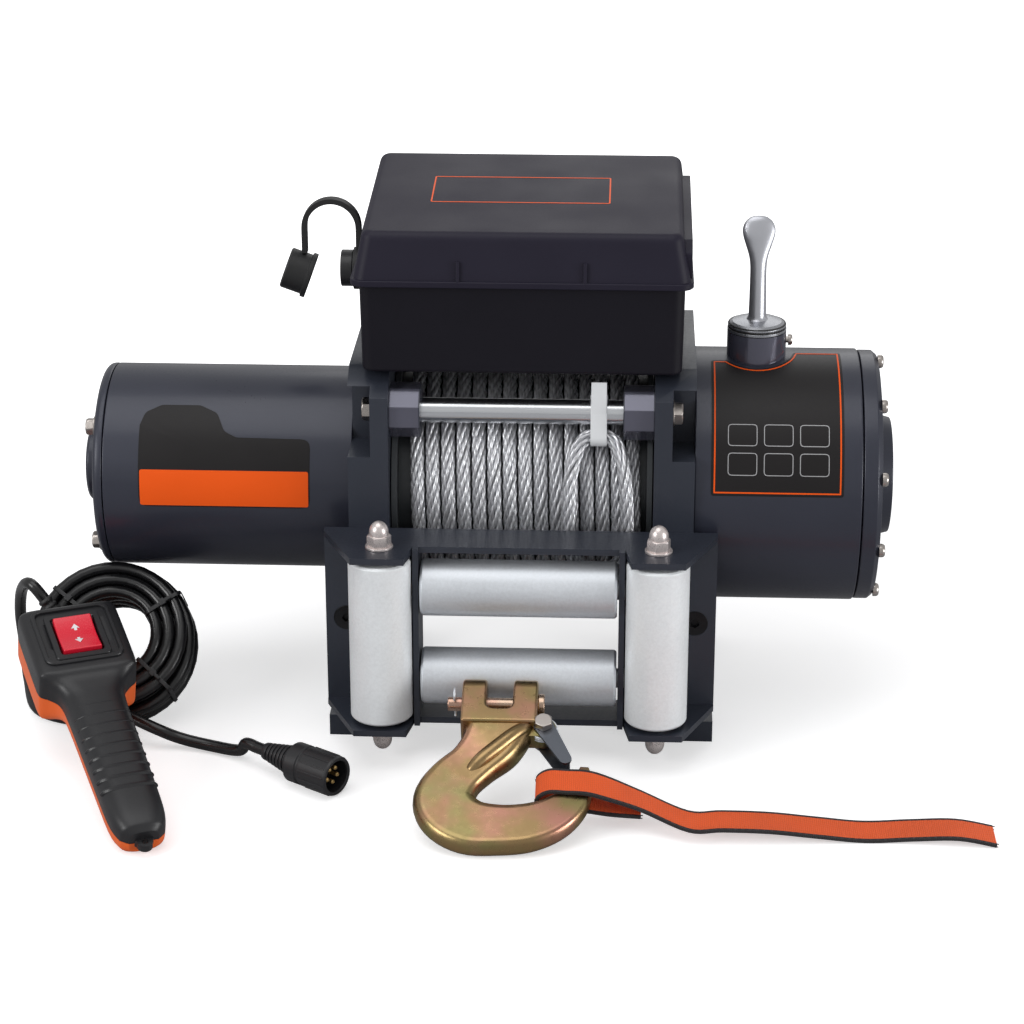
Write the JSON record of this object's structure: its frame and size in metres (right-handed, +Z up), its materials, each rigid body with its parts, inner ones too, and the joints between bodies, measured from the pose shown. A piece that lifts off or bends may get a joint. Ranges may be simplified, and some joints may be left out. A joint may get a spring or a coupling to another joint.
{
  "type": "electric winch",
  "caption": "Electric recovery winch: motor and planetary gearbox either side of a rope drum, with roller fairlead, control box, clutch lever, clevis hook with strap and a corded hand remote.",
  "frame": {"origin": "centre of the four foot bolts, on the underside of the feet", "axes": "+X along the drum towards the gearbox, -Y the rope side with the fairlead, +Z up"},
  "size_m": [0.6139, 0.3345, 0.3394],
  "materials": {
    "body_paint": "semi-gloss dark slate",
    "frame_paint": "semi-gloss dark slate",
    "drum_paint": "semi-gloss black",
    "box_plastic": "fine-grained, near black",
    "lid_plastic": "fine-grained, dark",
    "black_plastic": "satin black",
    "black_rubber": "soft black",
    "orange_plastic": "satin orange",
    "red_plastic": "glossy red",
    "zinc_steel": "bright zinc",
    "bolt_steel": "plated",
    "nut_steel": "plated, warm",
    "rod_chrome": "polished",
    "gear_steel": "machined",
    "magnet": "as cast",
    "core_copper": "laminated steel with copper windings",
    "bronze": "sintered",
    "rope_steel": "galvanised strands",
    "tie_white": "satin white",
    "black_steel": "black oxide",
    "hook_plating": "yellow zinc plating",
    "pin_plating": "yellow zinc plating",
    "strap_webbing": "woven webbing",
    "cord_jacket": "glossy black jacket"
  },
  "bodies": {
    "frame": {"motor_tube": "body_paint", "motor_end_bell": "body_paint", "motor_through_bolts": "bolt_steel", "motor_magnets": "magnet", "motor_bearings": "zinc_steel", "drum_support_left": "frame_paint", "drum_support_right": "frame_paint", "drum_bushes": "bronze", "rope_tail": "rope_steel", "rope_tie": "tie_white", "front_tie_rod": "rod_chrome", "rear_tie_rod": "rod_chrome", "tie_rod_bolts": "bolt_steel", "gearbox_housing": "body_paint", "ring_gear": "gear_steel", "gearbox_cover": "body_paint", "cover_screws": "bolt_steel", "clutch_boss": "frame_paint", "clutch_screw": "bolt_steel", "control_box_base": "box_plastic", "control_box_lid": "lid_plastic", "contactor": "box_plastic", "box_screws": "bolt_steel", "remote_socket": "black_plastic", "socket_cap": "black_rubber", "fairlead_frame": "frame_paint", "roller_pins": "zinc_steel", "acorn_nuts": "nut_steel", "fairlead_bolts": "black_steel", "hook_body": "hook_plating", "clevis_pin": "pin_plating", "cotter_pin": "pin_plating", "latch_bolt": "bolt_steel", "pull_strap": "strap_webbing", "remote_top_shell": "black_plastic", "remote_bottom_shell": "orange_plastic", "cord_lead": "cord_jacket", "cord_coil": "cord_jacket", "cord_tail": "cord_jacket", "cord_plug": "black_plastic", "cord_ties": "black_plastic"},
    "drum_body": {"drum": "drum_paint", "rope_core": "rope_steel", "rope_winding": "rope_steel", "planet_carrier": "gear_steel"},
    "input_body": {"armature": "core_copper", "drive_shaft": "gear_steel", "sun_gear": "gear_steel"},
    "planet_body_1": {"planet_gear_1": "gear_steel"},
    "planet_body_2": {"planet_gear_2": "gear_steel"},
    "planet_body_3": {"planet_gear_3": "gear_steel"},
    "roller_left_body": {"roller_left": "zinc_steel"},
    "roller_right_body": {"roller_right": "zinc_steel"},
    "roller_upper_body": {"roller_upper": "zinc_steel"},
    "roller_lower_body": {"roller_lower": "zinc_steel"},
    "clutch_handle": {"clutch_cap": "zinc_steel", "clutch_lever": "zinc_steel"},
    "rocker_body": {"remote_rocker": "red_plastic"},
    "latch_body": {"hook_latch": "zinc_steel"}
  },
  "joints": [
    {"name": "drum_spin", "type": "hinge", "parent": "frame", "child": "drum_body", "pos_m": [0, 0, 0.151], "axis": [1, 0, 0], "continuous": true},
    {"name": "input_spin", "type": "hinge", "parent": "frame", "child": "input_body", "pos_m": [0, 0, 0.151], "axis": [1, 0, 0], "continuous": true},
    {"name": "planet_spin_1", "type": "hinge", "parent": "drum_body", "child": "planet_body_1", "pos_m": [0.1365, 0.0432, 0.151], "axis": [1, 0, 0], "continuous": true},
    {"name": "planet_spin_2", "type": "hinge", "parent": "drum_body", "child": "planet_body_2", "pos_m": [0.1365, -0.0216, 0.18841], "axis": [1, 0, 0], "continuous": true},
    {"name": "planet_spin_3", "type": "hinge", "parent": "drum_body", "child": "planet_body_3", "pos_m": [0.1365, -0.0216, 0.11359], "axis": [1, 0, 0], "continuous": true},
    {"name": "roller_left_spin", "type": "hinge", "parent": "frame", "child": "roller_left_body", "pos_m": [-0.0845, -0.115, 0.083], "axis": [0, 0, 1], "continuous": true},
    {"name": "roller_right_spin", "type": "hinge", "parent": "frame", "child": "roller_right_body", "pos_m": [0.0845, -0.115, 0.083], "axis": [0, 0, 1], "continuous": true},
    {"name": "roller_upper_spin", "type": "hinge", "parent": "frame", "child": "roller_upper_body", "pos_m": [0, -0.1055, 0.1125], "axis": [1, 0, 0], "continuous": true},
    {"name": "roller_lower_spin", "type": "hinge", "parent": "frame", "child": "roller_lower_body", "pos_m": [0, -0.1055, 0.0535], "axis": [1, 0, 0], "continuous": true},
    {"name": "clutch_turn", "type": "hinge", "parent": "frame", "child": "clutch_handle", "pos_m": [0.1445, 0, 0.25], "axis": [0, 0, 1], "range_deg": [-90, 0]},
    {"name": "rocker_tilt", "type": "hinge", "parent": "frame", "child": "rocker_body", "pos_m": [-0.27388, -0.10802, 0.07362], "axis": [0.9135, 0.4067, 0], "range_deg": [-8, 8], "stiffness_Nm_per_rad": 0.3},
    {"name": "latch_swing", "type": "hinge", "parent": "frame", "child": "latch_body", "pos_m": [0.01702, -0.15923, 0.04089], "axis": [0, -0.3987, 0.9171], "range_deg": [-28, 0], "stiffness_Nm_per_rad": 0.05, "springref_deg": 17.19}
  ],
  "couplings": [
    {"joint": "input_spin", "follows": "drum_spin", "ratio": 4},
    {"joint": "planet_spin_1", "follows": "drum_spin", "ratio": -3},
    {"joint": "planet_spin_2", "follows": "drum_spin", "ratio": -3},
    {"joint": "planet_spin_3", "follows": "drum_spin", "ratio": -3}
  ]
}
